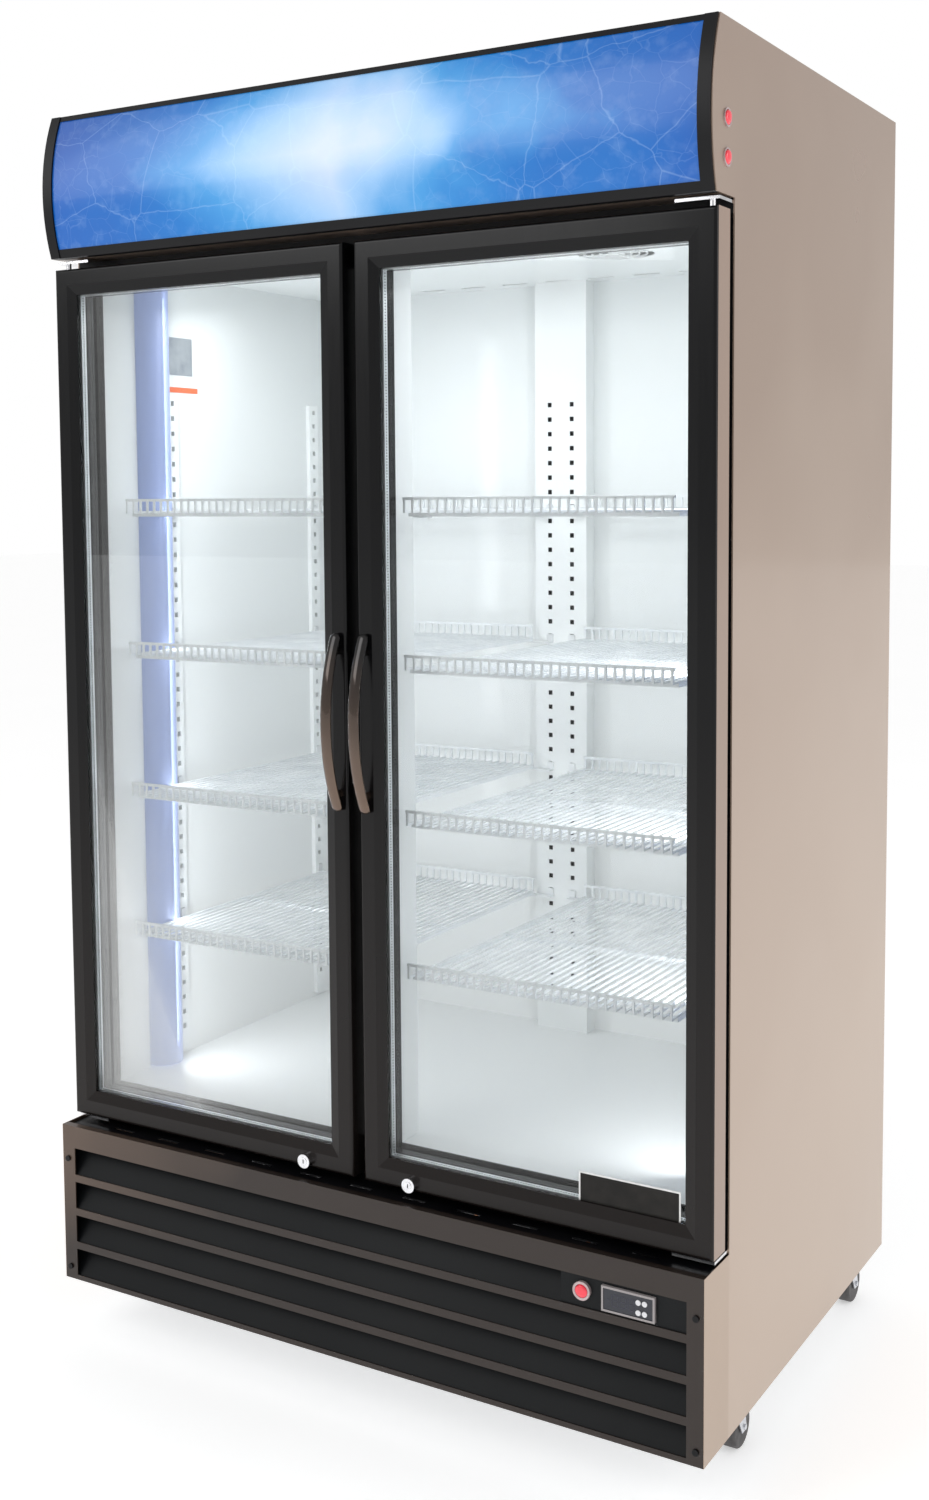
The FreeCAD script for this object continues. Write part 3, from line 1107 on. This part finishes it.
def lock_barrel():
    flange = cylinder("lock_flange", "y", ("lock_x", "door_front - lock_flange_reach", "lock_z"),
                      "lock_flange_radius", "lock_flange_reach")
    barrel = cylinder("lock_body", "y", ("lock_x", "door_front", "lock_z"), "lock_barrel_radius",
                      "door_thickness")
    bore = cylinder("lock_body_bore", "y", ("lock_x", "door_front - lock_flange_reach - 1", "lock_z"),
                    "lock_plug_radius + running_clearance", "door_thickness + lock_flange_reach + 2")
    return cut("lock_barrel_whole", fuse("lock_barrel_solid", flange, barrel), bore)


def lock_plug():
    front = "(door_front - lock_flange_reach - lock_plug_proud)"
    cam_front = "(lock_cam_gap - door_rear)"
    plug = cylinder("plug_core", "y", ("lock_x", front, "lock_z"), "lock_plug_radius",
                    f"{cam_front} + lock_cam_thickness - {front}")
    cam = box("plug_cam", ("lock_x", "lock_x + lock_cam_length"),
              (cam_front, f"{cam_front} + lock_cam_thickness"),
              ("lock_z - lock_cam_width / 2", "lock_z + lock_cam_width / 2"))
    slot = box("plug_keyway", ("lock_x - keyway_width / 2", "lock_x + keyway_width / 2"),
               (f"{front} - 1", f"{front} + keyway_depth"),
               ("lock_z - keyway_height / 2", "lock_z + keyway_height / 2"))
    return cut("lock_plug_whole", fuse("lock_plug_solid", plug, cam), slot)


def hinge_brackets():
    xs = ("door_outer - hinge_plate_width", "half - skin")
    pieces = []
    low_z = ("base_height + hinge_gap", "base_height + hinge_gap + hinge_plate")
    high_z = ("canopy_bottom - hinge_gap - hinge_plate", "canopy_bottom - hinge_gap")
    for label, zs, pin_low, pin_high in (
            ("low", low_z, low_z[0], "door_bottom + pin_bite"), ("top", high_z, "door_top - pin_bite",
                                                                 high_z[1])):
        plate = box(f"hinge_plate_{label}", xs, ("-hinge_plate_reach", 0), zs)
        pin = cylinder(f"hinge_pin_{label}", "z", ("pivot_x", "pivot_y", pin_low), "pin_radius",
                       f"{pin_high} - ({pin_low})")
        pieces.append(fuse(f"hinge_{label}", plate, pin))
    both_sides("hinge_brackets", *pieces)


# ---------------------------------------------------------------- casters
def casters():
    pin_low = "(-caster_plate - kingpin_length)"
    plate = box("caster_top", ("-caster_plate_size / 2", "caster_plate_size / 2"),
                ("-caster_plate_size / 2", "caster_plate_size / 2"), ("-caster_plate", 0))
    kingpin = cylinder("kingpin", "z", (0, 0, pin_low), "kingpin_radius", "kingpin_length")
    swivel_plate = fuse("swivel_plate", plate, kingpin)
    fork = caster_fork()
    wheel = caster_wheel()
    collar = cylinder("rigid_collar", "z", (0, 0, "-caster_plate - swivel_gap"), "swivel_head_radius",
                      "swivel_gap")
    fixed = fuse("rigid_caster", plate, collar, fork)
    spots = {"front_right": ("caster_x", "caster_front"), "rear_right": ("caster_x", "caster_rear"),
              "front_left": ("-caster_x", "caster_front"), "rear_left": ("-caster_x", "caster_rear")}
    tops = []
    for label, (x, y) in spots.items():
        swivels = label.startswith("front")
        tops.append(copy(f"caster_top_{label}", swivel_plate if swivels else fixed, x, y, 0))
        if swivels:
            node(f"{label}_caster_fork", copy(f"fork_{label}", fork, x, y, 0))
        node(f"{label}_caster_wheel", copy(f"wheel_{label}", wheel, x, y, 0))
    node("caster_plates", *tops)


def caster_fork():
    """A forked bracket hanging from the swivel axis, with the axle across it."""
    top = "(-caster_plate - swivel_gap)"
    axle_z = "(-caster_height + wheel_radius)"
    side = "(wheel_width / 2 + fork_gap)"
    head = cylinder("fork_head", "z", (0, 0, f"{top} - kingpin_length"), "swivel_head_radius",
                    "kingpin_length")
    crown_z = f"({top} - kingpin_length - fork_crown / 3)"
    pieces = [head, box("fork_crown", (f"-{side} - fork_leg", f"{side} + fork_leg"),
                        ("-swivel_head_radius", "swivel_head_radius"), (crown_z, f"{crown_z} + fork_crown"))]
    for label, low in (("left", f"-{side} - fork_leg"), ("right", side)):
        leg = doc.addObject("Part::Wedge", f"fork_leg_{label}")
        leg.Placement.Rotation = FreeCAD.Rotation(FreeCAD.Vector(0, 1, 0), FreeCAD.Vector(0, 0, -1),
                                                  FreeCAD.Vector(-1, 0, 0), "XYZ")
        bind(leg, Xmin="-swivel_head_radius", Xmax="swivel_head_radius", X2min="caster_trail - axle_boss",
             X2max="caster_trail + axle_boss", Ymin=0,
             Ymax=f"{crown_z} + fork_crown - {axle_z} + axle_radius + axle_end",
             Zmin=0, Zmax="fork_leg", Z2min=0, Z2max="fork_leg")
        at(leg, f"{low} + fork_leg", 0, f"{crown_z} + fork_crown")
        pieces.append(leg)
    axle = cylinder("fork_axle", "x", (f"-{side} - fork_leg - axle_end", "caster_trail", axle_z),
                    "axle_radius", f"2 * ({side} + fork_leg + axle_end)")
    bore = cylinder("fork_bore", "z", (0, 0, f"{top} - kingpin_length - 3"),
                    "kingpin_radius + running_clearance", "kingpin_length + 4")
    return cut("fork", fuse("fork_whole", *pieces, axle), bore)


def caster_wheel():
    axle_z = "(-caster_height + wheel_radius)"
    left = "(-wheel_width / 2)"
    tread = cylinder("wheel_tread", "x", (0, 0, 0), "wheel_radius", "wheel_width")
    doc.recompute()
    rounding = float(sheet.get("wheel_edge"))
    rims = [number for number, edge in enumerate(tread.Shape.Edges, start=1) if edge.Closed]
    rounded = doc.addObject("Part::Fillet", "wheel_rounded")
    rounded.Base = tread
    rounded.Edges = [(number, rounding, rounding) for number in rims]
    bore = cylinder("wheel_hole", "x", (-50, 0, 0), "axle_radius + running_clearance", 100)
    wheel = cut("wheel", rounded, bore)
    return copy("wheel_on_axle", wheel, left, "caster_trail", axle_z)


case_shell()
insulation()
inner_liner()
face_frame()
mullion()
shelf_uprights()
shelves()
lights()
evaporator()
fans_and_motors()
machinery()
base_front()
controls()
canopy()
door()
hinge_brackets()
casters()
doc.recompute()

os.makedirs("parts", exist_ok=True)
for thing in doc.Objects:
    if "Invalid" in thing.State or "Error" in thing.State:
        raise SystemExit(f"{thing.Name} did not recompute: {thing.State}")
for name, group in nodes.items():
    if group.Shape.isNull() or not group.Shape.isValid() or not group.Shape.Solids:
        raise SystemExit(f"{name} has no valid shape")
for name, group in nodes.items():
    group.Shape.exportStep(f"parts/{name}.step")
print(f"{len(nodes)} nodes written")
